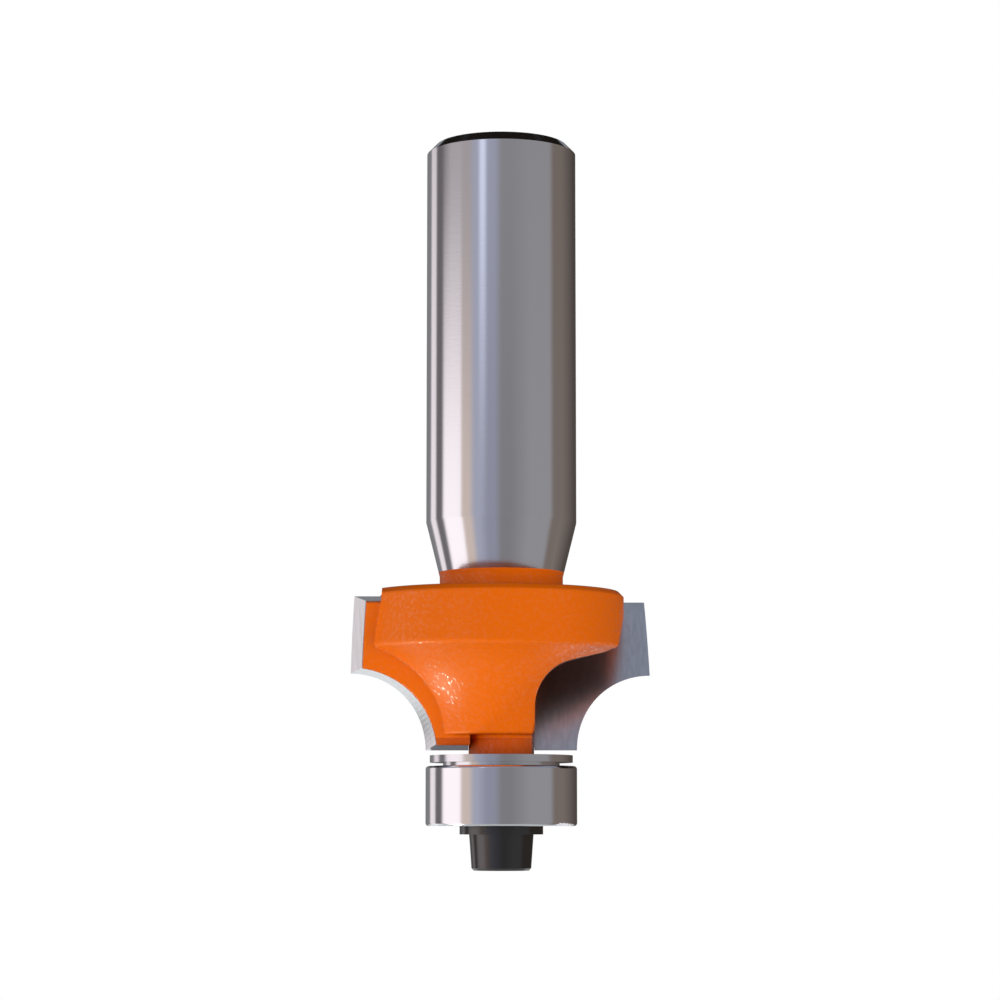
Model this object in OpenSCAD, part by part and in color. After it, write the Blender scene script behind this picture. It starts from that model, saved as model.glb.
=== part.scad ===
// Two-flute rounding-over router bit with a ball bearing guide.
// The origin is the centre of the shank's free end face and +Z points out of the shank,
// so the bit hangs below z = 0 as it does in a router. The two blades lie along +X and -X,
// and the bit cuts clockwise when it is seen from the shank end. Sizes are in millimetres.

/* [Shank] */
// Diameter of the ground shank, a standard collet size
shank_d = 12.7; // [11.5:0.1:14]
// Length of shank from its free end to the start of the taper
shank_len = 32.5; // [25:0.1:50]
// Chamfer on the free end of the shank
shank_chamfer = 0.8; // [0.3:0.1:1.5]
// Half angle of the cone between shank and neck, in degrees
taper_angle = 14; // [8:1:30]
// Diameter of the neck above the cutter body
neck_d = 10.4; // [8:0.1:11.4]
// Straight length of the neck
neck_len = 1.3; // [0.8:0.1:6]
// Fillet where the neck meets the cutter body
neck_fillet = 0.4; // [0.2:0.1:0.7]
// Height of coated neck and cone above the cutter body
coat_height = 2.08; // [0.5:0.02:4]

/* [Cutting edge] */
// Radius that the bit leaves on the work
round_r = 6.35; // [5.5:0.05:7]
// Length of the carbide tips along the axis
cut_len = 12.7; // [11.5:0.1:16]
// Drop from the top of the cutter body to the top of the tips
tip_drop = 0.55; // [0.4:0.05:1.5]
// Lean of the rake faces against the axis, in degrees
shear_angle = 15.3; // [5:0.1:18]
// Relief ground behind the cutting edges, in degrees
relief_angle = 26; // [18:1:30]
// Thickness of the carbide tips
tip_t = 2; // [1.5:0.1:2.4]
// Thickness of the steel wing that backs each tip
wing_t = 0.6; // [0.4:0.05:1.2]
// Step from a tip's back edge down to the wing
wing_step = 0.07; // [0.02:0.01:0.2]
// Height above the tips' lower edge at which their inner corner is cut off
tip_corner_rise = 7.4; // [6:0.1:9]
// Distance from the axis to the inner end of the tips' top edge
tip_top_in = 8.8; // [7.5:0.1:9.8]

/* [Cutter body] */
// Radial gap between the cutting circle and the turned lobes
body_gap = 1.68; // [1.4:0.01:2.2]
// Distance that each lobe is turned off centre, towards the blade ahead of it
lobe_offset = 0.7; // [0.3:0.05:0.9]
// Distance from the axis beyond which a lobe starts only behind the wing
lobe_start = 9.85; // [9:0.05:10.4]
// Chamfer on the top edge of the lobes
band_chamfer = 0.42; // [0.2:0.02:0.8]
// Rounding between the band and the cove
band_fillet = 0.45; // [0.2:0.05:0.6]
// How much larger the cove's radius is than the cutting radius
cove_gap = 3.2; // [3:0.05:3.4]
// Distance of the cove's centre outside the centre of the cutting edge
cove_out = 1.77; // [1.6:0.01:1.9]
// Distance of the cove's centre below the lower edge of the tips
cove_down = 0.42; // [0.2:0.01:0.6]
// Height of the hub's lower face above the lower edge of the tips
hub_lift = 1.26; // [0.9:0.02:1.8]
// Rounding on the lower edge of the hub
hub_fillet = 0.3; // [0.1:0.05:0.4]
// Diameter of the collar under the hub
collar_d = 5.5; // [5.2:0.1:6.2]
// Gap between the tips and the dust shield
tip_gap = 0.42; // [0.2:0.02:1]

/* [Gullets] */
// Radius in the upper corner of the open gullet, seen from the front
gullet_corner_r = 3.9; // [3:0.1:4.5]
// Height of the centre of that corner above the tips' lower edge
gullet_corner_lift = 3.5; // [3:0.1:4]
// Slope of the gullet's upper face, in degrees
gullet_slope = 14.7; // [8:0.1:20]
// Distance from the axis to the gullet's front wall
gullet_front = 4.1; // [3.6:0.1:4.6]
// Depth of the gullet's roof below the top of the body
gullet_roof = 1.45; // [1.2:0.05:2.5]
// Radius between the front wall and the roof
gullet_roof_r = 5.7; // [4:0.1:6.5]
// Clearance of the gullet's inner wall and of the tips round the collar
gullet_clear = 0.02; // [0.01:0.01:0.2]

/* [Bearing] */
// Outer diameter of the bearing
bearing_od = 12.7; // [12.4:0.1:13.4]
// Bore of the bearing
bearing_bore = 4.76; // [4.4:0.02:5]
// Width of the bearing
bearing_w = 4.98; // [4.6:0.02:5.6]
// Rounding of the bearing's edges
ring_edge = 0.25; // [0.1:0.05:0.35]
// Diameter of the balls
ball_d = 2.38; // [2.2:0.02:2.5]
// Number of balls
ball_count = 7; // [6:1:7]
// Radial clearance of the balls in their grooves
ball_clear = 0.02; // [0.01:0.01:0.05]
// Ratio of groove radius to ball radius
groove_ratio = 1.04; // [1.02:0.01:1.08]
// Depth of the ball grooves
groove_depth = 0.36; // [0.3:0.01:0.42]
// Sheet of the ribbon cage
cage_t = 0.15; // [0.1:0.01:0.2]
// Clearance of the cage round balls and shoulders
cage_clear = 0.05; // [0.03:0.01:0.08]
// Radial room between the cage and the ring shoulders
cage_room = 0.25; // [0.15:0.01:0.35]
// Diameter of the cage rivets
rivet_d = 0.36; // [0.3:0.02:0.44]
// Sheet of the bearing shields
shield_t = 0.2; // [0.12:0.02:0.24]
// Depth of the shields' seat below the bearing's faces
seat_depth = 0.66; // [0.58:0.02:0.8]
// Step of that seat outside the outer ring's shoulder
seat_step = 0.3; // [0.2:0.02:0.36]
// Running gap between shield and inner ring
shield_gap = 0.1; // [0.05:0.01:0.2]
// Wire of the snap rings that hold the shields
snap_wire = 0.22; // [0.16:0.02:0.26]
// Width of the gap in each snap ring
snap_gap = 1.6; // [1:0.1:3]

/* [Guide hardware] */
// Diameter of the dust shield
dust_d = 12; // [11:0.1:12.4]
// Thickness of the dust shield's flange
dust_t = 0.6; // [0.4:0.05:1]
// Diameter of the boss under the dust shield
dust_boss_d = 9.8; // [8:0.1:10]
// Height of that boss
dust_boss_h = 0.3; // [0.2:0.05:0.6]
// Radial clearance of the parts that slide on the pilot pin
pin_clear = 0.02; // [0.01:0.01:0.06]
// Distance that the pilot pin stops short of the bearing's lower face
pin_short = 0.2; // [0.1:0.05:0.6]
// Diameter of the flat washer
washer_d = 7; // [6.2:0.1:7]
// Thickness of the flat washer
washer_t = 0.7; // [0.4:0.05:1]
// Hole of the flat washer
washer_bore = 3.2; // [3.1:0.05:3.4]
// Nominal diameter of the cap screw
screw_d = 3; // [2.5:0.1:3]
// Length of the cap screw under its head
screw_len = 8; // [5:0.5:9]
// Radial clearance of the screw in its tapped hole
screw_clear = 0.03; // [0.02:0.01:0.1]
// Diameter of the screw head at the washer
head_d = 5.4; // [5:0.1:5.8]
// Diameter of the screw head above its chamfer
head_tip_d = 5; // [4.7:0.1:5]
// Height of the screw head
head_h = 3; // [2.4:0.1:3.4]
// Chamfer round the screw head's end
head_chamfer = 0.2; // [0.1:0.05:0.4]
// Hexagon of the screw head, across the flats
hex_af = 2.5; // [2:0.1:2.6]
// Depth of the hexagon
hex_depth = 1.5; // [1:0.1:1.8]

/* [Hidden] */
$fn = 96;

// Colours
steel = [0.72, 0.72, 0.74];
orange = [0.87, 0.37, 0.02];
carbide_grey = [0.48, 0.49, 0.54];
black_oxide = [0.16, 0.16, 0.16];
cage_brass = [0.68, 0.64, 0.5];

// Steps along the curved parts of a blade's outline
arc_steps = 24;
edge_steps = 6;
// Longer than any cut has to be
far = 40;

// Heights, from the shank end down
z_neck = -shank_len - (shank_d - neck_d) / 2 / tan(taper_angle);
z_body = z_neck - neck_len;
z_coat = z_body + coat_height;
z_cut = z_body - tip_drop - cut_len;
z_hub = z_cut + hub_lift;
z_dust = z_cut - tip_gap;
z_bearing = z_dust - dust_t - dust_boss_h;
z_mid = z_bearing - bearing_w / 2;
z_washer = z_bearing - bearing_w;
z_head = z_washer - washer_t;
z_pin = z_washer + pin_short;

// Cutting circle, lobes and cove
cut_r = bearing_od / 2 + round_r;
band_r = cut_r - body_gap;
cove_r = round_r + cove_gap;
cove_c = [cut_r + cove_out, z_cut - cove_down];
band_c = [band_r - band_fillet, cove_c[1] + reach(cove_r + band_fillet, cove_c[0] - band_r + band_fillet)];
hub_c = [cove_c[0] - reach(cove_r + hub_fillet, z_hub + hub_fillet - cove_c[1]), z_hub + hub_fillet];
wall_x = collar_d / 2 + gullet_clear;
blade_top = cut_len / cos(shear_angle);

// Bearing
pin_r = bearing_bore / 2 - pin_clear;
ball_r = ball_d / 2;
pitch_r = (bearing_od + bearing_bore) / 4;
groove_r = ball_r * groove_ratio;
inner_land = pitch_r - ball_r - ball_clear + groove_depth;
outer_land = pitch_r + ball_r + ball_clear - groove_depth;
seat_r = outer_land + seat_step;
snap_r = seat_r + snap_wire / 2;
cage_in = inner_land + cage_room;
cage_out = outer_land - cage_room;
pocket_r = ball_r + cage_clear;
rivet_head_r = rivet_d * 0.75;
rivet_clear = 0.02;

// Screw
screw_r = screw_d / 2;
tapped_r = screw_r + screw_clear;
tapped_depth = screw_len - washer_t - pin_short + 1;
drill_point = 59;

// The other side of a right-angled triangle
function reach(long, side) = sqrt(long * long - side * side);

// Points along a small rounding, from one heading of its centre to another
round_steps = 5;
function rounding(c, r, a0, a1) = [for (i = [0 : round_steps]) let (a = a0 + (a1 - a0) * i / round_steps)
    c + r * [cos(a), sin(a)]];

// The heading of one point from another
function heading(from, to) = atan2(to[1] - from[1], to[0] - from[0]);

// The point at a distance from one centre towards another
function toward(from, to, d) = from + d * (to - from) / norm(to - from);

// Outline of a blade on a plane parallel to its rake face, at a depth behind that face.
// Each point is [distance from the axis, height along the leaning plane]. The arc and the
// outer edge are those of a turned form cut by the leaning plane, drawn in by the relief.
function relief(depth) = depth * tan(relief_angle);
function on_plane(r, rise) = [reach(r, rise * tan(shear_angle)), rise / cos(shear_angle)];
function corner_angle(depth) = asin(relief(depth) / (round_r + relief(depth)));
function arc_point(depth, a) = let (r = round_r + relief(depth)) on_plane(cut_r - r * sin(a), r * cos(a));
function arc_points(depth) = let (a0 = corner_angle(depth), span = 90 - 2 * a0)
    [for (i = [0 : arc_steps]) arc_point(depth, 90 - a0 - span * i / arc_steps)];
function lip_rise(depth) = (round_r + relief(depth)) * cos(corner_angle(depth));
function outer_points(depth) = let (low = lip_rise(depth), span = cut_len - low)
    [for (i = [1 : edge_steps]) on_plane(cut_r - relief(depth), low + span * i / edge_steps)];
function cutting_points(depth) = concat(arc_points(depth), outer_points(depth));

// Wings start just inside the collar's side, and are this much deeper than they show, so that
// their front runs into the collar
wing_root = collar_d / 2 - 0.15;
wing_seat = 1.7;

// Inner edge of a tip at the same depth, with one point for each point of the cutting edge
tip_corner = [wall_x, tip_corner_rise];
tip_top = [tip_top_in, blade_top];
function tip_foot(depth) = [wall_x, relief(depth) / cos(shear_angle)];
function inner_points(depth) = concat(
    [for (i = [0 : arc_steps]) tip_foot(depth) + (tip_corner - tip_foot(depth)) * i / arc_steps],
    [for (i = [1 : edge_steps]) tip_corner + (tip_top - tip_corner) * i / edge_steps]);

// Places a blade's own frame: x outwards, y from the rake face into the blade, z up the face
module blade_frame() {
    translate([0, 0, z_cut]) rotate([-shear_angle, 0, 0]) children();
}

// Repeats a feature of the first blade for the second one
module both_sides() {
    for (turn = [0, 180]) rotate([0, 0, turn]) children();
}

// Carbide tip as a row of four-cornered sections, from its foot along the edge to its top
module tip_slab() {
    rings = [at_depth(cutting_points(0), 0), at_depth(cutting_points(tip_t), tip_t),
        at_depth(inner_points(tip_t), tip_t), at_depth(inner_points(0), 0)];
    n = len(rings[0]);
    skin = [for (k = [0 : 3], i = [0 : n - 2]) let (a = k * n + i, b = (k + 1) % 4 * n + i)
        each [[a, a + 1, b + 1], [a, b + 1, b]]];
    ends = [[0, n, 2 * n, 3 * n], [n - 1, 4 * n - 1, 3 * n - 1, 2 * n - 1]];
    polyhedron([for (ring = rings) each ring], concat(skin, ends), convexity = 4);
}
function at_depth(points, depth) = [for (p = points) [p[0], depth, p[1]]];

// Shank, cone and neck, turned from one bar
module shank_profile() {
    r = shank_d / 2;
    n = neck_d / 2;
    polygon(concat([[0, 0], [r - shank_chamfer, 0], [r, -shank_chamfer], [r, -shank_len], [n, z_neck]],
        rounding([n + neck_fillet, z_body + neck_fillet], neck_fillet, 180, 270),
        [[n + neck_fillet, z_body - 1], [0, z_body - 1]]));
}

// Half section of a lobe: chamfer, band, rounding, cove and hub. The roundings run on a
// little into the cove, which is cut last
module lobe_profile() {
    run_on = 0.05;
    round_end = 10;
    difference() {
        polygon(concat([[0, z_body], [band_r - band_chamfer, z_body], [band_r, z_body - band_chamfer]],
            rounding(band_c, band_fillet, 0, heading(band_c, cove_c) + round_end),
            [toward(band_c, cove_c, band_fillet + run_on), toward(hub_c, cove_c, hub_fillet + run_on)],
            rounding(hub_c, hub_fillet, heading(hub_c, cove_c) - round_end, -90), [[0, z_hub]]));
        translate(cove_c) circle(cove_r);
    }
}

// Lobe that trails the first blade, up to the rake face of the second one
module lobe() {
    intersection() {
        translate([lobe_offset, 0, 0]) rotate_extrude() lobe_profile();
        union() {
            blade_frame() translate([-1, 0, -far]) cube([far, far, 2 * far]);
            rotate([0, 0, 180]) blade_frame() translate([0, -far, -far]) cube([far, far, 2 * far]);
        }
    }
}

// Open gullet ahead of the first blade, as the front view shows it. Only the metal in front
// of that blade is cut with it, so it runs on behind the rake face
module gullet_front_profile() {
    c = [wall_x + gullet_corner_r, z_cut + gullet_corner_lift];
    t = c + gullet_corner_r * [-sin(gullet_slope), cos(gullet_slope)];
    polygon([[wall_x, -2 * far], [wall_x, c[1]], c, t, [far, t[1] + (far - t[0]) * tan(gullet_slope)],
        [far, -2 * far]]);
    translate(c) circle(gullet_corner_r);
}

// Slot between the gullet's front wall and the rake face, as the side view shows it
module gullet_side_profile() {
    roof = z_body - gullet_roof;
    c = [gullet_roof_r - gullet_front, roof - gullet_roof_r];
    polygon([[-gullet_front, -2 * far], [-gullet_front, c[1]], c, [c[0], roof], [far, roof],
        [far, -2 * far]]);
    translate(c) circle(gullet_roof_r);
}

module gullet() {
    translate([0, far, 0]) rotate([90, 0, 0]) linear_extrude(2 * far) gullet_front_profile();
    translate([wall_x, 0, 0]) rotate([90, 0, 90]) linear_extrude(far) gullet_side_profile();
}

// Seat into which a tip is brazed, open to the front
module tip_seat() {
    blade_frame() translate([0, tip_t, 0]) rotate([90, 0, 0]) linear_extrude(2 * tip_t)
        polygon([[wall_x, -far], tip_corner, tip_top, [far, blade_top], [far, -far]]);
}

// Steel wing behind a tip, a little lower than the tip's own back edge. It starts inside the
// seat, which trims its front face
module wing() {
    depth = tip_t + wing_step / tan(relief_angle);
    blade_frame() translate([0, tip_t + wing_t, 0]) rotate([90, 0, 0]) linear_extrude(wing_t + wing_seat)
        polygon(concat([[wing_root, relief(depth) / cos(shear_angle)]], cutting_points(depth),
            [[wing_root + 1, blade_top], [wing_root, blade_top - 1]]));
}

// Room in front of a lobe's start, beside the tip and the wing
module lobe_end() {
    blade_frame() translate([lobe_start, -1, -far]) cube([far, 1 + tip_t + wing_t, 2 * far]);
}

// Lobe and wing that carry the first blade, with the gullet ahead of the second one
module blade_half() {
    difference() {
        union() {
            difference() {
                lobe();
                lobe_end();
            }
            wing();
        }
        tip_seat();
        rotate([0, 0, 180]) gullet();
    }
}

// Tapped hole for the cap screw, with its drill point
module tapped_hole() {
    translate([0, 0, z_pin - 1]) cylinder(h = tapped_depth + 1, r = tapped_r);
    translate([0, 0, z_pin + tapped_depth]) cylinder(h = tapped_r / tan(drill_point), r1 = tapped_r, r2 = 0);
}

// Shank, cutter body, wings, collar and pilot pin are one piece of steel
module bit_body() {
    difference() {
        union() {
            color(steel) rotate_extrude() shank_profile();
            color(orange) both_sides() blade_half();
            color(orange) translate([0, 0, z_dust]) cylinder(h = z_hub - z_dust + 1, d = collar_d);
            color(steel) translate([0, 0, z_pin]) cylinder(h = z_hub - z_pin + 1, r = pin_r);
        }
        tapped_hole();
    }
}

// Carbide tip of the first blade
module carbide_tip() {
    color(carbide_grey) blade_frame() tip_slab();
}

module carbide_tip_1() {
    carbide_tip();
}

module carbide_tip_2() {
    rotate([0, 0, 180]) carbide_tip();
}

// Stepped disc that keeps dust off the bearing. Its boss bears on the inner ring only
module dust_shield() {
    color(steel) translate([0, 0, z_bearing]) difference() {
        union() {
            cylinder(h = dust_boss_h, d = dust_boss_d);
            translate([0, 0, dust_boss_h]) cylinder(h = dust_t, d = dust_d);
        }
        translate([0, 0, -1]) cylinder(h = dust_t + dust_boss_h + 2, r = pin_r + pin_clear);
    }
}

// Half sections of the two rings, with the bearing's middle at zero
module inner_ring_profile() {
    w = bearing_w / 2;
    bore = bearing_bore / 2;
    edge = ring_edge / 2;
    difference() {
        polygon([[bore, -w + edge], [bore + edge, -w], [inner_land - edge, -w], [inner_land, -w + edge],
            [inner_land, w - edge], [inner_land - edge, w], [bore + edge, w], [bore, w - edge]]);
        translate([pitch_r - ball_r - ball_clear + groove_r, 0]) circle(groove_r);
    }
}

module outer_ring_profile() {
    w = bearing_w / 2;
    r = bearing_od / 2;
    difference() {
        union() {
            translate([outer_land, ring_edge - w]) square([r - outer_land, bearing_w - 2 * ring_edge]);
            translate([outer_land, -w]) square([r - outer_land - ring_edge, bearing_w]);
            for (side = [-1, 1]) translate([r - ring_edge, side * (w - ring_edge)]) circle(ring_edge);
        }
        translate([pitch_r + ball_r + ball_clear - groove_r, 0]) circle(groove_r);
        for (side = [0, 1]) mirror([0, side]) {
            translate([outer_land - 1, w - seat_depth]) square([seat_r - outer_land + 1, seat_depth + 1]);
            translate([seat_r - 1, w - seat_depth + shield_t])
                square([snap_r - seat_r + 1, snap_wire + cage_clear]);
        }
    }
}

module bearing_inner_ring() {
    color(steel) translate([0, 0, z_mid]) rotate_extrude() inner_ring_profile();
}

module bearing_outer_ring() {
    color(steel) translate([0, 0, z_mid]) rotate_extrude() outer_ring_profile();
}

// Places one ball, or what goes with it, on the pitch circle
module at_ball(i) {
    translate([0, 0, z_mid]) rotate([0, 0, 360 * i / ball_count]) translate([pitch_r, 0, 0]) children();
}

module ball(number) {
    if (number <= ball_count) color(steel) at_ball(number - 1) sphere(ball_r);
}

module ball_1() {
    ball(1);
}

module ball_2() {
    ball(2);
}

module ball_3() {
    ball(3);
}

module ball_4() {
    ball(4);
}

module ball_5() {
    ball(5);
}

module ball_6() {
    ball(6);
}

module ball_7() {
    ball(7);
}

// Rivet between two balls
module at_rivets() {
    for (i = [0 : ball_count - 1]) at_ball(i + 0.5) children();
}

// Ring between the cage's inner and outer radius
module cage_band(h) {
    translate([0, 0, z_mid]) difference() {
        cylinder(h = h, r = cage_out);
        translate([0, 0, -1]) cylinder(h = h + 2, r = cage_in);
    }
}

// Arch that bridges the cage at each ball
module cage_arches(r) {
    w = cage_out - cage_in + 1;
    for (i = [0 : ball_count - 1]) at_ball(i) translate([-w / 2, 0, 0]) rotate([0, 90, 0]) cylinder(h = w, r = r);
}

// Pressed half of the ribbon cage: a flat ring with an arched pocket over each ball
module cage_half() {
    difference() {
        union() {
            cage_band(cage_t);
            intersection() {
                cage_arches(pocket_r + cage_t);
                cage_band(ball_d);
            }
        }
        cage_arches(pocket_r);
        at_rivets() translate([0, 0, -1]) cylinder(h = 2, d = rivet_d + 2 * rivet_clear);
    }
}

// Turns what is above the bearing's middle over to below it
module turned_over() {
    translate([0, 0, 2 * z_mid]) mirror([0, 0, 1]) children();
}

module cage_upper() {
    color(cage_brass) cage_half();
}

module cage_lower() {
    color(cage_brass) turned_over() cage_half();
}

module cage_rivets() {
    color(steel) at_rivets() {
        translate([0, 0, -cage_t - rivet_clear]) cylinder(h = 2 * (cage_t + rivet_clear), d = rivet_d);
        for (side = [0, 1]) mirror([0, 0, side]) translate([0, 0, cage_t])
            cylinder(h = cage_t, r1 = rivet_head_r, r2 = rivet_d / 2);
    }
}

// Pressed shield: its rim lies on the seat and its middle is dished towards the face
module shield_profile() {
    low = bearing_w / 2 - seat_depth;
    dish = shield_t / 2;
    inner = inner_land + shield_gap;
    step = outer_land - cage_room;
    polygon([[inner, low + dish], [step - dish, low + dish], [step, low], [seat_r - rivet_clear, low],
        [seat_r - rivet_clear, low + shield_t], [step + dish, low + shield_t],
        [step, low + shield_t + dish], [inner, low + shield_t + dish]]);
}

module bearing_shield_upper() {
    color(steel) translate([0, 0, z_mid]) rotate_extrude() shield_profile();
}

module bearing_shield_lower() {
    color(steel) turned_over() bearing_shield_upper();
}

// Sprung wire ring with a gap, in the groove outside the shield
module snap_ring() {
    r = snap_r - cage_clear / 2;
    low = bearing_w / 2 - seat_depth + shield_t;
    color(steel) translate([0, 0, z_mid + low]) difference() {
        cylinder(h = snap_wire, r = r);
        translate([0, 0, -1]) cylinder(h = snap_wire + 2, r = r - snap_wire);
        translate([0, -snap_gap / 2, -1]) cube([bearing_od, snap_gap, snap_wire + 2]);
    }
}

module snap_ring_upper() {
    snap_ring();
}

module snap_ring_lower() {
    turned_over() snap_ring();
}

module flat_washer() {
    color(black_oxide) translate([0, 0, z_head]) difference() {
        cylinder(h = washer_t, d = washer_d);
        translate([0, 0, -1]) cylinder(h = washer_t + 2, d = washer_bore);
    }
}

// Socket head cap screw, with a plain shank in place of its thread
module cap_screw() {
    z_end = z_head - head_h;
    color(black_oxide) difference() {
        union() {
            translate([0, 0, z_head]) cylinder(h = screw_len, r = screw_r);
            translate([0, 0, z_end + head_chamfer])
                cylinder(h = head_h - head_chamfer, d1 = head_tip_d, d2 = head_d);
            translate([0, 0, z_end])
                cylinder(h = head_chamfer, d1 = head_tip_d - 2 * head_chamfer, d2 = head_tip_d);
        }
        translate([0, 0, z_end - 1]) rotate([0, 0, 30])
            cylinder(h = hex_depth + 1, r = hex_af / 2 / cos(30), $fn = 6);
    }
}

bit_body();
carbide_tip_1();
carbide_tip_2();
dust_shield();
bearing_inner_ring();
bearing_outer_ring();
ball_1();
ball_2();
ball_3();
ball_4();
ball_5();
ball_6();
ball_7();
cage_upper();
cage_lower();
cage_rivets();
bearing_shield_upper();
bearing_shield_lower();
snap_ring_upper();
snap_ring_lower();
flat_washer();
cap_screw();
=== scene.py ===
"""Studio picture of a bearing-guided rounding-over router bit.

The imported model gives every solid. This script gives it its finishes, and sets up the stage,
the light and the camera.
"""

import logging
import math
from dataclasses import dataclass
from enum import Enum
from typing import Dict, List, Optional, Tuple, Union

import bpy
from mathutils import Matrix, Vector


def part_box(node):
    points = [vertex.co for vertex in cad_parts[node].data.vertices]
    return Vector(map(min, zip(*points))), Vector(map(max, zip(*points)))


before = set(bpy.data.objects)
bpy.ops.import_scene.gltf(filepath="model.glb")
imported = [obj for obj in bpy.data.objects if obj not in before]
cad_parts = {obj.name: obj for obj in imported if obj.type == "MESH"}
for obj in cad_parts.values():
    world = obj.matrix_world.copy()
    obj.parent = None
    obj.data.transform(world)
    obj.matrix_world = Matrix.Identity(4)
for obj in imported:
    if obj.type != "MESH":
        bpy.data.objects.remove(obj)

LOG = logging.getLogger("router_bit")
MM = 0.001

Colour = Tuple[float, float, float]
Span = Tuple[float, float]
Socket = bpy.types.NodeSocket
Value = Union[Socket, float, Tuple[float, ...]]


def srgb(red: float, green: float, blue: float) -> Colour:
    """Turns display values into scene-linear ones.

    Args:
        red: Red from 0 to 255.
        green: Green from 0 to 255.
        blue: Blue from 0 to 255.

    Returns:
        The linear colour: v / 12.92 up to 0.04045, else ((v + 0.055) / 1.055) ** 2.4.
    """
    values = [channel / 255.0 for channel in (red, green, blue)]
    return tuple(v / 12.92 if v <= 0.04045 else ((v + 0.055) / 1.055) ** 2.4 for v in values)


class Grain(Enum):
    """How a metal's surface was worked."""

    NONE = "none"
    GROUND = "ground"
    TURNED = "turned"
    FINE = "fine"


# How closely the grain's lines follow each other along x, y and z, in lines per metre.
GRAIN_PITCH: Dict[Grain, Tuple[float, float, float]] = {
    Grain.GROUND: (900.0, 900.0, 6000.0),
    Grain.TURNED: (200.0, 200.0, 9000.0),
    Grain.FINE: (3600.0, 3600.0, 160.0),
}
GRAIN_DETAIL = 3.0


@dataclass(frozen=True)
class Finish:
    """One finish of bare metal.

    Attributes:
        name: Name of the material.
        colour: Scene-linear colour.
        roughness: Mean roughness.
        grain: How the surface was worked.
        depth_mm: Depth of the grain in millimetres.
        valley: Share of the colour that is left in the grain's valleys.
    """

    name: str
    colour: Colour
    roughness: float
    grain: Grain = Grain.NONE
    depth_mm: float = 0.0
    valley: float = 1.0


@dataclass(frozen=True)
class Coating:
    """The glossy coating on neck, cutter body and collar.

    Attributes:
        colour: The coating's own colour, where no shade is painted.
        painted_collar_shade: Painted shade on the collar, which sits under the cutter body.
        painted_gullet_shade: Painted shade inside the gullets, a dark brown that the carbide rake
            faces also mirror.
        roughness: Roughness of the pigment under the clear layer.
        pigment_shine: Shine of the pigment under the clear layer.
        above_shield_mm: Height of the coating's upper edge over the dust shield's top.
        collar_mm: Length of the collar over the dust shield's top.
        body_mm: Height of the cutter body's top over the dust shield's top.
        edge_mm: Radius that the coating gives to sharp edges.
        gloss: Weight of the clear layer on a fleck.
        clear_roughness: Roughness of the clear layer.
        fleck_mm: Size of the flecks that sparkle in the clear layer.
        fleck_depth_mm: Depth of the flecks' relief.
        fleck_level: Level of the relief above which a place is part of a fleck.
        fleck_tint: Colour that the flecks add to the pigment.
        fleck_share: Share of that colour.
    """

    colour: Colour
    painted_collar_shade: Colour
    painted_gullet_shade: Colour
    roughness: float = 0.42
    pigment_shine: float = 0.2
    above_shield_mm: float = 15.37
    collar_mm: float = 1.4
    body_mm: float = 13.67
    edge_mm: float = 0.3
    gloss: float = 0.7
    clear_roughness: float = 0.04
    fleck_mm: float = 0.28
    fleck_depth_mm: float = 0.09
    fleck_level: float = 0.55
    fleck_tint: Colour = (1.0, 0.4, 0.04)
    fleck_share: float = 0.015


@dataclass(frozen=True)
class GulletShadeZone:
    """Where shade is painted in the two gullets on the body. Each span runs from no gullet to
    gullet.

    Attributes:
        below_top_mm: How far the gullets stay under the cutter body's top.
        deep_mm: Span of the distance |y| from the plane of the tips.
        inner_mm: Span of the distance |x| on the side of the turning axis.
        outer_mm: Span of the distance |x| on the side of the rim.
        wall_mm: Span of the distance |x| of the lobes' cut walls.
        wall_facing: Least share of x in the direction that such a wall faces.
        arch_facing: Share of z below which a face may be the underside of the arch.
        arch_outward_mm: Greatest product of y and the share of y in its direction there.
        inward_mm: The same product, below which any face counts as turned in.
    """

    below_top_mm: float = 0.3
    deep_mm: Span = (4.1, 3.7)
    inner_mm: Span = (2.5, 2.65)
    outer_mm: Span = (9.4, 9.2)
    wall_mm: Span = (3.1, 3.0)
    wall_facing: float = 0.8
    arch_facing: float = -0.4
    arch_outward_mm: float = 0.5
    inward_mm: float = -0.4


@dataclass(frozen=True)
class Studio:
    """Camera and floor.

    Attributes:
        distance_mm: Distance of the camera from the turning axis.
        height_mm: Height of the camera against the shank's end face.
        pitch_deg: Angle by which the camera looks up.
        aside_mm: Distance of the camera to the left of the turning axis.
        focal_px: Focal length in pixels of a picture 1000 pixels wide.
        sensor_mm: Width of the camera's sensor.
        near_m: Distance at which the camera starts to see, in metres.
        far_m: Distance at which it stops to see, in metres.
        floor_mm: Height of the floor.
        floor_half_mm: Half of the floor's side.
        floor_colour: Colour of the matt floor.
        floor_roughness: Roughness of the floor.
        floor_glow: Colour that the floor shows in shiny faces.
    """

    distance_mm: float = 245.0
    height_mm: float = -57.61
    pitch_deg: float = 6.31
    aside_mm: float = 0.11
    focal_px: float = 2909.8
    sensor_mm: float = 36.0
    near_m: float = 0.01
    far_m: float = 10.0
    floor_mm: float = -260.0
    floor_half_mm: float = 220.0
    floor_colour: Colour = (0.8, 0.8, 0.8)
    floor_roughness: float = 0.9
    floor_glow: Colour = srgb(176, 180, 182)


@dataclass(frozen=True)
class Softbox:
    """A soft rectangular light that looks at the cutter body.

    Attributes:
        name: Name of the light.
        place_mm: Where it hangs.
        size_mm: Its width and height.
        watts: Its power.
        colour: Its colour.
        mirrored: Whether it shows in polished metal and in the clear layer.
    """

    name: str
    place_mm: Tuple[float, float, float]
    size_mm: Tuple[float, float]
    watts: float
    colour: Colour
    mirrored: bool = False


class Tint(Enum):
    """Casts of the cards, as what a card's brightness is multiplied by."""

    NEUTRAL = (1.0, 1.0, 1.05)
    ROSE = (1.08, 1.0, 1.04)
    COOL = (0.95, 1.0, 1.25)
    WARM = (1.2, 1.0, 0.9)


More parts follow.
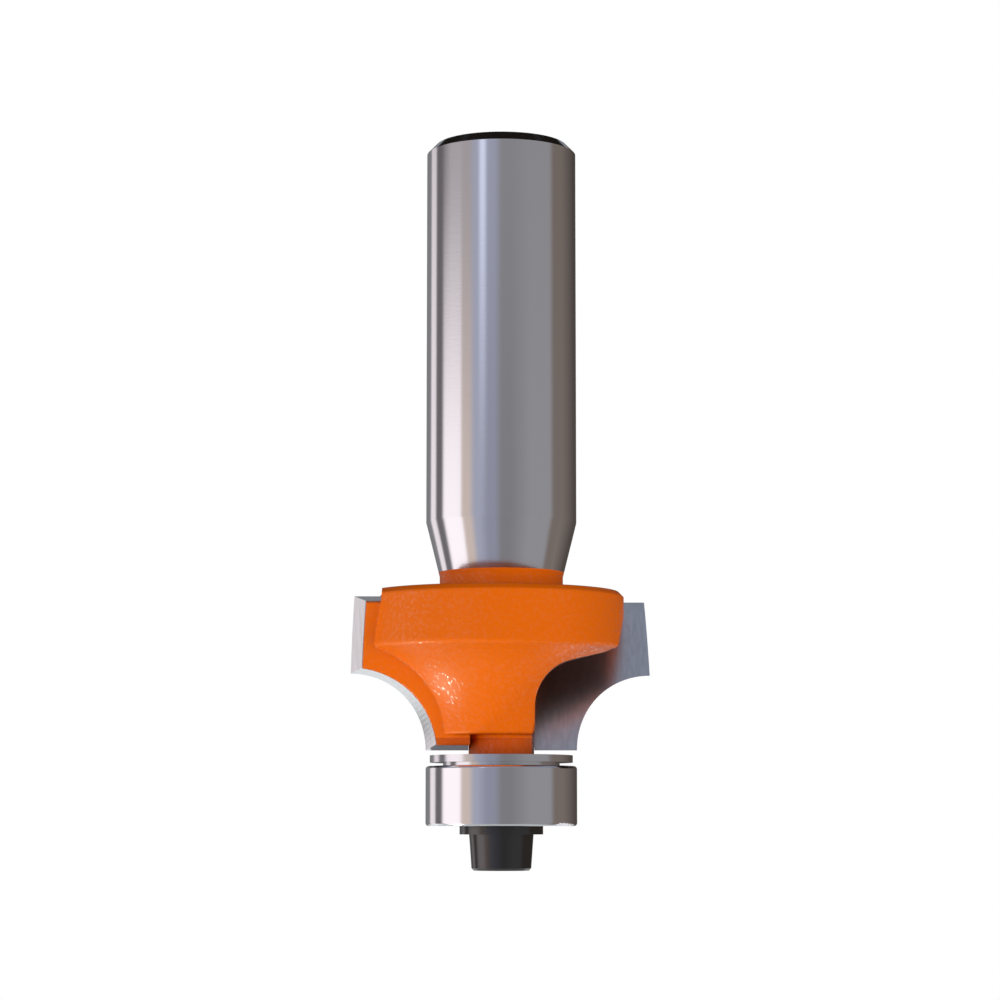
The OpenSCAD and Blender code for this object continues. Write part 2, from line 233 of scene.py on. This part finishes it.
@dataclass(frozen=True)
class Card:
    """A wall, card or light that stands around the bit, from floor to ceiling.

    Attributes:
        name: What it is.
        span_deg: Azimuths of its edges, from above, with the camera at zero and positive right.
        low: Its brightness at the height of the bit, or None where it doesn't stand there.
        high: Its brightness higher up, or None where it doesn't reach there.
        tint: Its cast.
    """

    name: str
    span_deg: Span
    low: Optional[float]
    high: Optional[float]
    tint: Tint = Tint.NEUTRAL

    def colour(self, brightness: float) -> Colour:
        """Gives the card's colour.

        Args:
            brightness: The card's brightness at the height that is asked for.

        Returns:
            The brightness times the tint.
        """
        red, green, blue = self.tint.value
        return brightness * red, brightness * green, brightness * blue


@dataclass(frozen=True)
class Patch:
    """A patch of the surroundings. Each span of a direction's share runs from none to full.

    Attributes:
        colour: Its colour.
        up: Span of the share of z, upward.
        back: Span of the share of y, away from the camera.
        aside: Span of the share of |x|, to either side.
    """

    colour: Colour
    up: Span
    back: Optional[Span] = None
    aside: Optional[Span] = None


# What stands around the bit, in order. Between two neighbours the one runs into the other.
CARDS: List[Card] = [
    Card("rear left wall", (-180.0, -140.0), 0.2, 0.2),
    Card("rim light", (-136.0, -122.0), 0.8, 0.65, Tint.ROSE),
    Card("flag", (-118.0, -104.0), 0.12, 0.12, Tint.ROSE),
    Card("silk", (-98.0, -66.0), 1.0, None, Tint.ROSE),
    Card("left wall", (-85.0, -50.0), None, 0.32, Tint.ROSE),
    Card("reflector", (-62.0, -50.0), 0.5, None, Tint.WARM),
    Card("left card", (-42.0, -36.0), 0.38, 0.36, Tint.COOL),
    Card("strip light", (-32.0, -26.0), None, 0.75, Tint.COOL),
    Card("inner card", (-22.0, -10.0), 0.28, 0.34, Tint.COOL),
    Card("front wall", (0.0, 15.0), 0.21, 0.24),
    Card("right card", (45.0, 80.0), 0.28, 0.26),
    Card("right wall", (88.0, 108.0), 0.15, 0.14, Tint.WARM),
    Card("rear right wall", (148.0, 180.0), 0.065, 0.055, Tint.WARM),
]
LOW_TO_HIGH: Span = (0.125, 0.215)
CEILING = srgb(24, 20, 18)

# What lies over the cards, each patch on those before it: the upper walls, the ceiling, the
# dark wall behind, the strip and the ledge on it, the pale wall low behind, and the ground.
PATCHES: List[Patch] = [
    Patch(srgb(132, 139, 156), up=(0.35, 0.5)),
    Patch(CEILING, up=(0.72, 0.86)),
    Patch(CEILING, up=(0.23, 0.3), back=(0.3, 0.5)),
    Patch(srgb(164, 170, 174), up=(0.6, 0.66), back=(0.46, 0.52), aside=(0.24, 0.16)),
    Patch(srgb(150, 155, 162), up=(0.34, 0.4), back=(0.82, 0.87)),
    Patch(srgb(236, 239, 242), up=(-0.2, -0.35), back=(0.2, 0.4)),
    Patch(srgb(176, 180, 182), up=(-0.65, -0.8)),
]

LIGHT_AIM_MM = Vector((0.0, 0.0, -44.0))
SOFTBOXES: List[Softbox] = [
    Softbox("key", (-150.0, -250.0, -60.0), (140.0, 160.0), 0.33, (1.0, 0.98, 0.96)),
    Softbox("fill", (230.0, -200.0, -70.0), (160.0, 160.0), 0.5, (1.0, 0.96, 0.92)),
    Softbox("spark", (-162.0, 18.0, -232.0), (38.0, 38.0), 0.28, (0.94, 1.0, 0.84), mirrored=True),
]

SHANK_STEEL = Finish("ground_shank_steel", srgb(246, 245, 247), 0.13, Grain.GROUND, 0.0012)
BRIGHT_STEEL = Finish("bright_turned_steel", srgb(238, 237, 239), 0.18, Grain.TURNED, 0.0006)
BEARING_STEEL = Finish("bearing_steel", srgb(246, 245, 247), 0.13)
BALL_STEEL = Finish("ball_steel", srgb(240, 238, 240), 0.06)
CAGE_STEEL = Finish("cage_steel", srgb(196, 186, 160), 0.28)
SPRING_STEEL = Finish("spring_steel", srgb(176, 176, 180), 0.25)
CARBIDE = Finish("ground_carbide", srgb(255, 255, 255), 0.24, Grain.FINE, 0.0018, valley=0.66)
BLACK_OXIDE = Finish("black_oxide", srgb(94, 92, 91), 0.24)
ORANGE = Coating(colour=srgb(231, 104, 0), painted_collar_shade=srgb(196, 84, 14), painted_gullet_shade=srgb(84, 50, 36))


class NodeGraph:
    """Short ways to build a node tree."""

    def __init__(self, tree: bpy.types.NodeTree) -> None:
        """Empties a tree and starts on it.

        Args:
            tree: The node tree of a material or a world.
        """
        self.tree = tree
        tree.nodes.clear()

    def add(self, kind: str, **settings: object) -> bpy.types.Node:
        """Adds a node.

        Args:
            kind: The node's type name.
            **settings: Properties of the node.

        Returns:
            The new node.
        """
        node = self.tree.nodes.new(kind)
        for key, value in settings.items():
            setattr(node, key, value)
        return node

    def link(self, source: Socket, target: Socket) -> None:
        """Joins an output to an input.

        Args:
            source: The output.
            target: The input.
        """
        self.tree.links.new(source, target)

    def feed(self, value: Value, target: Socket) -> None:
        """Joins an output to an input, or sets the input to a plain value.

        Args:
            value: An output socket, a number or a colour with alpha.
            target: The input.
        """
        if isinstance(value, Socket):
            self.link(value, target)
        else:
            target.default_value = value

    def math(self, operation: str, *values: Value) -> Socket:
        """Adds a math node.

        Args:
            operation: The node's operation.
            *values: Its values or sockets, as many as the operation takes.

        Returns:
            The result.
        """
        node = self.add("ShaderNodeMath", operation=operation)
        for value, target in zip(values, node.inputs):
            self.feed(value, target)
        return node.outputs[0]

    def product(self, first: Socket, *others: Socket) -> Socket:
        """Multiplies sockets.

        Args:
            first: The first factor.
            *others: The other factors.

        Returns:
            The product.
        """
        for other in others:
            first = self.math("MULTIPLY", first, other)
        return first

    def rise(self, value: Socket, span: Span, unit: float = 1.0) -> Socket:
        """Runs from zero to one over a span.

        Args:
            value: The socket that is measured.
            span: Value at which the result is zero and value at which it is one.
            unit: Size of the span's unit.

        Returns:
            (value - start) / (end - start), kept between zero and one.
        """
        node = self.add("ShaderNodeMapRange", clamp=True)
        self.link(value, node.inputs["Value"])
        node.inputs["From Min"].default_value = span[0] * unit
        node.inputs["From Max"].default_value = span[1] * unit
        return node.outputs["Result"]

    def split(self, output: str) -> bpy.types.Node:
        """Splits a texture coordinate into x, y and z.

        Args:
            output: Name of the coordinate.

        Returns:
            The node with the outputs X, Y and Z.
        """
        parts = self.add("ShaderNodeSeparateXYZ")
        self.link(self.add("ShaderNodeTexCoord").outputs[output], parts.inputs["Vector"])
        return parts

    def ramp(self, value: Socket, stops: List[Tuple[float, Colour]]) -> Socket:
        """Adds a colour ramp.

        Args:
            value: The socket that drives the ramp.
            stops: Pairs of position and colour.

        Returns:
            The ramp's colour.
        """
        node = self.add("ShaderNodeValToRGB")
        elements = node.color_ramp.elements
        while len(elements) > 1:
            elements.remove(elements[-1])
        elements[0].position = stops[0][0]
        elements[0].color = (*stops[0][1], 1.0)
        for position, colour in stops[1:]:
            elements.new(position).color = (*colour, 1.0)
        self.feed(value, node.inputs["Fac"])
        return node.outputs["Color"]

    def mix(self, factor: Value, first: Value, second: Value) -> Socket:
        """Adds a colour mix.

        Args:
            factor: Share of the second colour.
            first: First colour or socket.
            second: Second colour or socket.

        Returns:
            The mixed colour.
        """
        node = self.add("ShaderNodeMix", data_type="RGBA")
        factor_in, first_in, second_in = (node.inputs[index] for index in (0, 6, 7))
        self.feed(factor, factor_in)
        for value, target in ((first, first_in), (second, second_in)):
            self.feed(value if isinstance(value, Socket) else (*value, 1.0), target)
        return node.outputs[2]

    def blend(self, share: Socket, first: bpy.types.Node, second: bpy.types.Node) -> None:
        """Blends two shaders into the material's surface.

        Args:
            share: Share of the second shader.
            first: First shader.
            second: Second shader.
        """
        node = self.add("ShaderNodeMixShader")
        for value, target in zip((share, first.outputs[0], second.outputs[0]), node.inputs):
            self.link(value, target)
        output = self.add("ShaderNodeOutputMaterial")
        self.link(node.outputs["Shader"], output.inputs["Surface"])


class MaterialMaker:
    """Makes the materials, each of them once."""

    def __init__(self) -> None:
        """Starts with no materials."""
        self.made: Dict[str, bpy.types.Material] = {}

    @staticmethod
    def start(name: str) -> Tuple[bpy.types.Material, NodeGraph]:
        """Makes an empty node material.

        Args:
            name: Name of the material.

        Returns:
            The material and its graph.
        """
        material = bpy.data.materials.new(name)
        material.use_nodes = True
        return material, NodeGraph(material.node_tree)

    @staticmethod
    def _grain(graph: NodeGraph, grain: Grain) -> Socket:
        """Makes the height field of a worked surface, from zero to one.

        Args:
            graph: The material's graph.
            grain: How the surface was worked.

        Returns:
            The height.
        """
        coordinates = graph.add("ShaderNodeTexCoord")
        mapping = graph.add("ShaderNodeMapping")
        mapping.inputs["Scale"].default_value = GRAIN_PITCH[grain]
        graph.link(coordinates.outputs["Object"], mapping.inputs["Vector"])
        noise = graph.add("ShaderNodeTexNoise")
        noise.inputs["Scale"].default_value = 1.0
        noise.inputs["Detail"].default_value = GRAIN_DETAIL
        graph.link(mapping.outputs["Vector"], noise.inputs["Vector"])
        return noise.outputs["Fac"]

    @staticmethod
    def _bump(
        graph: NodeGraph, height: Socket, depth_mm: float, normal: Optional[Socket] = None
    ) -> Socket:
        """Turns a height field into a normal.

        Args:
            graph: The material's graph.
            height: Height from zero to one.
            depth_mm: Depth of the field in millimetres.
            normal: The normal to start from.

        Returns:
            The bumped normal.
        """
        bump = graph.add("ShaderNodeBump")
        bump.inputs["Distance"].default_value = depth_mm * MM
        graph.link(height, bump.inputs["Height"])
        if normal is not None:
            graph.link(normal, bump.inputs["Normal"])
        return bump.outputs["Normal"]

    def _metal(self, graph: NodeGraph, finish: Finish) -> bpy.types.Node:
        """Makes the shader of a bare metal.

        Args:
            graph: The material's graph.
            finish: The finish.

        Returns:
            The shader node.
        """
        shader = graph.add("ShaderNodeBsdfPrincipled")
        shader.inputs["Base Color"].default_value = (*finish.colour, 1.0)
        shader.inputs["Metallic"].default_value = 1.0
        shader.inputs["Roughness"].default_value = finish.roughness
        if finish.grain is not Grain.NONE:
            height = self._grain(graph, finish.grain)
            if finish.valley < 1.0:
                valley = tuple(finish.valley * channel for channel in finish.colour)
                graph.link(graph.mix(height, valley, finish.colour), shader.inputs["Base Color"])
            graph.link(self._bump(graph, height, finish.depth_mm), shader.inputs["Normal"])
        return shader

    def metal(self, finish: Finish) -> bpy.types.Material:
        """Gives the material of a finish.

        Args:
            finish: The finish.

        Returns:
            The material.
        """
        if finish.name not in self.made:
            material, graph = self.start(finish.name)
            shader = self._metal(graph, finish)
            output = graph.add("ShaderNodeOutputMaterial")
            graph.link(shader.outputs["BSDF"], output.inputs["Surface"])
            self.made[finish.name] = material
        return self.made[finish.name]

    @staticmethod
    def _gullet_shade_mask(graph: NodeGraph, place: bpy.types.Node, top: float, zone: GulletShadeZone) -> Socket:
        """Marks the two gullets for painted shade; they lie where x and y have different signs.

        Args:
            graph: The material's graph.
            place: The node that separates the object coordinates.
            top: Height of the cutter body's top, in metres.
            zone: Where the gullets lie.

        Returns:
            One inside the gullets, zero elsewhere.
        """
        x, y, z = (place.outputs[axis] for axis in "XYZ")
        far_x, far_y = graph.math("ABSOLUTE", x), graph.math("ABSOLUTE", y)
        facing = graph.split("Normal")
        outward = graph.math("MULTIPLY", y, facing.outputs["Y"])
        turned_in = graph.math("LESS_THAN", outward, zone.inward_mm * MM)
        arch = graph.product(
            graph.math("LESS_THAN", facing.outputs["Z"], zone.arch_facing),
            graph.math("LESS_THAN", outward, zone.arch_outward_mm * MM),
        )
        aside = graph.math("ABSOLUTE", facing.outputs["X"])
        wall = graph.product(
            graph.math("GREATER_THAN", aside, zone.wall_facing),
            graph.rise(far_x, zone.wall_mm, MM),
        )
        surface = graph.rise(far_y, zone.deep_mm, MM)
        for part in (turned_in, arch, wall):
            surface = graph.math("MAXIMUM", surface, part)
        return graph.product(
            graph.math("LESS_THAN", graph.math("MULTIPLY", x, y), 0.0),
            graph.math("LESS_THAN", z, top - zone.below_top_mm * MM),
            surface,
            graph.rise(far_x, zone.inner_mm, MM),
            graph.rise(far_x, zone.outer_mm, MM),
        )

    def _paint(self, graph: NodeGraph, coating: Coating, place: bpy.types.Node) -> bpy.types.Node:
        """Makes the shader of the coating, with painted shade on the collar and in the gullets.

        Args:
            graph: The material's graph.
            coating: The coating.
            place: The node that separates the object coordinates.

        Returns:
            The shader node.
        """
        shield_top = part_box("dust_shield")[1].z
        collar = graph.math("LESS_THAN", place.outputs["Z"], shield_top + coating.collar_mm * MM)
        gullets = self._gullet_shade_mask(graph, place, shield_top + coating.body_mm * MM, GulletShadeZone())
        # Painted shade: the collar under the cutter body gets a darker orange.
        colour = graph.mix(collar, coating.colour, coating.painted_collar_shade)
        # Painted shade: the gullets get a dark brown, which the carbide rake faces also mirror as
        # a dark reflection.
        colour = graph.mix(gullets, colour, coating.painted_gullet_shade)

        flecks = graph.add("ShaderNodeTexNoise")
        flecks.inputs["Scale"].default_value = 1.0 / (coating.fleck_mm * MM)
        flecks.inputs["Detail"].default_value = 1.0
        coordinates = graph.add("ShaderNodeTexCoord")
        graph.link(coordinates.outputs["Object"], flecks.inputs["Vector"])
        relief = flecks.outputs["Fac"]
        fleck = graph.math("GREATER_THAN", relief, coating.fleck_level)
        tint = graph.math("MULTIPLY", fleck, coating.fleck_share)
        colour = graph.mix(tint, colour, coating.fleck_tint)
        soft = graph.add("ShaderNodeBevel", samples=6)
        soft.inputs["Radius"].default_value = coating.edge_mm * MM
        normal = soft.outputs["Normal"]

        shader = graph.add("ShaderNodeBsdfPrincipled")
        shader.inputs["Roughness"].default_value = coating.roughness
        shader.inputs["Specular IOR Level"].default_value = coating.pigment_shine
        shader.inputs["Coat Roughness"].default_value = coating.clear_roughness
        clear = graph.math("MULTIPLY", fleck, coating.gloss)
        bumped = self._bump(graph, relief, coating.fleck_depth_mm, normal)
        graph.link(colour, shader.inputs["Base Color"])
        graph.link(normal, shader.inputs["Normal"])
        graph.link(clear, shader.inputs["Coat Weight"])
        graph.link(bumped, shader.inputs["Coat Normal"])
        return shader

    def body(self, steel: Finish, coating: Coating) -> bpy.types.Material:
        """Makes the body's material: bare shank, coated from the coating's edge to the shield.

        Args:
            steel: Finish of the shank and of the pilot pin.
            coating: The coating.

        Returns:
            The material.
        """
        material, graph = self.start("shank_and_coated_body")
        place = graph.split("Object")
        height = place.outputs["Z"]
        shield_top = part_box("dust_shield")[1].z
        edge = shield_top + coating.above_shield_mm * MM
        coated = graph.product(
            graph.math("LESS_THAN", height, edge),
            graph.math("GREATER_THAN", height, shield_top),
        )
        graph.blend(coated, self._metal(graph, steel), self._paint(graph, coating, place))
        return material


@dataclass
class SubAssembly:
    """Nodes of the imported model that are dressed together.

    Attributes:
        maker: Where the materials come from.
    """

    maker: MaterialMaker

    def finishes(self) -> Dict[str, Finish]:
        """Gives the finish of each node of bare metal."""
        return {}

    @staticmethod
    def put_on(name: str, material: bpy.types.Material) -> None:
        """Gives a node one material, and reports it.

        Args:
            name: Name of the node.
            material: Its material.
        """
        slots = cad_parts[name].data.materials
        slots.clear()
        slots.append(material)
        LOG.info("%s is dressed in %s", name, material.name)

    def dress(self) -> None:
        """Gives every node its finish."""
        for name, finish in self.finishes().items():
            self.put_on(name, self.maker.metal(finish))


@dataclass
class Cutter(SubAssembly):
    """Shank and coated cutter body in one piece, and the two carbide tips.

    Attributes:
        shank: Finish of the bare steel.
        coating: Coating of neck, cutter body and collar.
        tips: Finish of the tips.
        flutes: Number of tips.
    """

    shank: Finish = SHANK_STEEL
    coating: Coating = ORANGE
    tips: Finish = CARBIDE
    flutes: int = 2

    def finishes(self) -> Dict[str, Finish]:
        """Gives the finish of each tip."""
        return {f"carbide_tip_{number}": self.tips for number in range(1, self.flutes + 1)}

    def dress(self) -> None:
        """Gives the body its two finishes, and each tip its own."""
        self.put_on("bit_body", self.maker.body(self.shank, self.coating))
        super().dress()


@dataclass
class GuideBearing(SubAssembly):
    """The dust shield and the guide bearing under it.

    Attributes:
        balls: Number of balls.
    """

    balls: int = 7

    def finishes(self) -> Dict[str, Finish]:
        """Gives the finish of each ring, shield, ball and piece of the cage."""
        finishes = {"dust_shield": BRIGHT_STEEL}
        for ring in ("inner", "outer"):
            finishes[f"bearing_{ring}_ring"] = BEARING_STEEL
        for piece in ("upper", "lower", "rivets"):
            finishes[f"cage_{piece}"] = CAGE_STEEL
        for side in ("upper", "lower"):
            finishes[f"bearing_shield_{side}"] = BRIGHT_STEEL
            finishes[f"snap_ring_{side}"] = SPRING_STEEL
        for number in range(1, self.balls + 1):
            finishes[f"ball_{number}"] = BALL_STEEL
        return finishes


@dataclass
class Retainer(SubAssembly):
    """The washer and the cap screw that hold the bearing."""

    def finishes(self) -> Dict[str, Finish]:
        """Gives the finish of washer and screw."""
        return {"flat_washer": BLACK_OXIDE, "cap_screw": BLACK_OXIDE}


class Stage:
    """Floor, surroundings, lights and camera."""

    def __init__(self, studio: Studio) -> None:
        """Keeps the studio's sizes.

        Args:
            studio: Camera and floor.
        """
        self.studio = studio

    def floor(self) -> None:
        """Lays a plain pale floor well below the bit, out of the camera's sight."""
        half = self.studio.floor_half_mm * MM
        z = self.studio.floor_mm * MM
        corners = [(-half, -half, z), (half, -half, z), (half, half, z), (-half, half, z)]
        mesh = bpy.data.meshes.new("floor")
        mesh.from_pydata(corners, [], [(0, 1, 2, 3)])
        floor = bpy.data.objects.new("floor", mesh)
        bpy.context.collection.objects.link(floor)
        material, graph = MaterialMaker.start("pale_floor")
        matt = graph.add("ShaderNodeBsdfPrincipled")
        matt.inputs["Base Color"].default_value = (*self.studio.floor_colour, 1.0)
        matt.inputs["Roughness"].default_value = self.studio.floor_roughness
        glow = graph.add("ShaderNodeEmission")
        glow.inputs["Color"].default_value = (*self.studio.floor_glow, 1.0)
        path = graph.add("ShaderNodeLightPath")
        graph.blend(path.outputs["Is Glossy Ray"], matt, glow)
        mesh.materials.append(material)

    @staticmethod
    def _cards(graph: NodeGraph, parts: bpy.types.Node) -> Socket:
        """Stands the cards around the bit.

        Args:
            graph: The world's graph.
            parts: The node that separates the direction.

        Returns:
            The cards' colour.
        """
        toward = graph.math("MULTIPLY", parts.outputs["Y"], -1.0)
        azimuth = graph.math("ARCTAN2", parts.outputs["X"], toward)
        turn = graph.math("MULTIPLY_ADD", azimuth, 1.0 / (2.0 * math.pi), 0.5)
        ramps: Dict[str, Socket] = {}
        for level in ("low", "high"):
            standing = [card for card in CARDS if getattr(card, level) is not None]
            stops = [
                (0.5 + edge / 360.0, card.colour(getattr(card, level)))
                for card in standing
                for edge in card.span_deg
            ]
            ramps[level] = graph.ramp(turn, stops)
            LOG.info("%s around: %s", level, ", ".join(card.name for card in standing))
        return graph.mix(graph.rise(parts.outputs["Z"], LOW_TO_HIGH), ramps["low"], ramps["high"])

    def surroundings(self) -> None:
        """Makes the world: white for the camera, a studio of cards for everything else."""
        world = bpy.data.worlds.new("studio")
        world.use_nodes = True
        bpy.context.scene.world = world
        graph = NodeGraph(world.node_tree)
        parts = graph.split("Generated")
        around = self._cards(graph, parts)
        up, back = parts.outputs["Z"], parts.outputs["Y"]
        aside = graph.math("ABSOLUTE", parts.outputs["X"])
        for patch in PATCHES:
            measured = ((up, patch.up), (back, patch.back), (aside, patch.aside))
            spans = [graph.rise(share, span) for share, span in measured if span is not None]
            around = graph.mix(graph.product(*spans), around, patch.colour)
        path = graph.add("ShaderNodeLightPath")
        background = graph.add("ShaderNodeBackground")
        seen = graph.mix(path.outputs["Is Camera Ray"], around, (1.0, 1.0, 1.0))
        graph.link(seen, background.inputs["Color"])
        output = graph.add("ShaderNodeOutputWorld")
        graph.link(background.outputs["Background"], output.inputs["Surface"])

    def light(self) -> None:
        """Hangs the key light at the left, a fill at the right and a spark light below."""
        for softbox in SOFTBOXES:
            data = bpy.data.lights.new(softbox.name, "AREA")
            data.shape = "RECTANGLE"
            data.size, data.size_y = (side * MM for side in softbox.size_mm)
            data.energy = softbox.watts
            data.color = softbox.colour
            light = bpy.data.objects.new(softbox.name, data)
            bpy.context.collection.objects.link(light)
            place = Vector(softbox.place_mm)
            light.location = place * MM
            light.rotation_euler = (LIGHT_AIM_MM - place).to_track_quat("-Z", "Y").to_euler()
            light.visible_glossy = softbox.mirrored
            LOG.info("%s light hangs at %s mm", softbox.name, softbox.place_mm)

    def camera(self) -> None:
        """Places the camera level with the bearing, looking up a little."""
        studio = self.studio
        data = bpy.data.cameras.new("camera")
        data.sensor_width = studio.sensor_mm
        data.lens = studio.sensor_mm * studio.focal_px / 1000.0
        data.clip_start = studio.near_m
        data.clip_end = studio.far_m
        camera = bpy.data.objects.new("camera", data)
        bpy.context.collection.objects.link(camera)
        camera.location = Vector((-studio.aside_mm, -studio.distance_mm, studio.height_mm)) * MM
        camera.rotation_euler = (math.radians(90.0 + studio.pitch_deg), 0.0, 0.0)
        bpy.context.scene.camera = camera

    def build(self) -> None:
        """Sets up the whole stage."""
        self.floor()
        self.surroundings()
        self.light()
        self.camera()
        bpy.context.scene.view_settings.view_transform = "Standard"


def main() -> None:
    """Builds the picture."""
    logging.basicConfig(level=logging.INFO)
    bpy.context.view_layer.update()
    maker = MaterialMaker()
    for sub_assembly in (Cutter(maker), GuideBearing(maker), Retainer(maker)):
        sub_assembly.dress()
    Stage(Studio()).build()


if __name__ == "__main__":
    main()
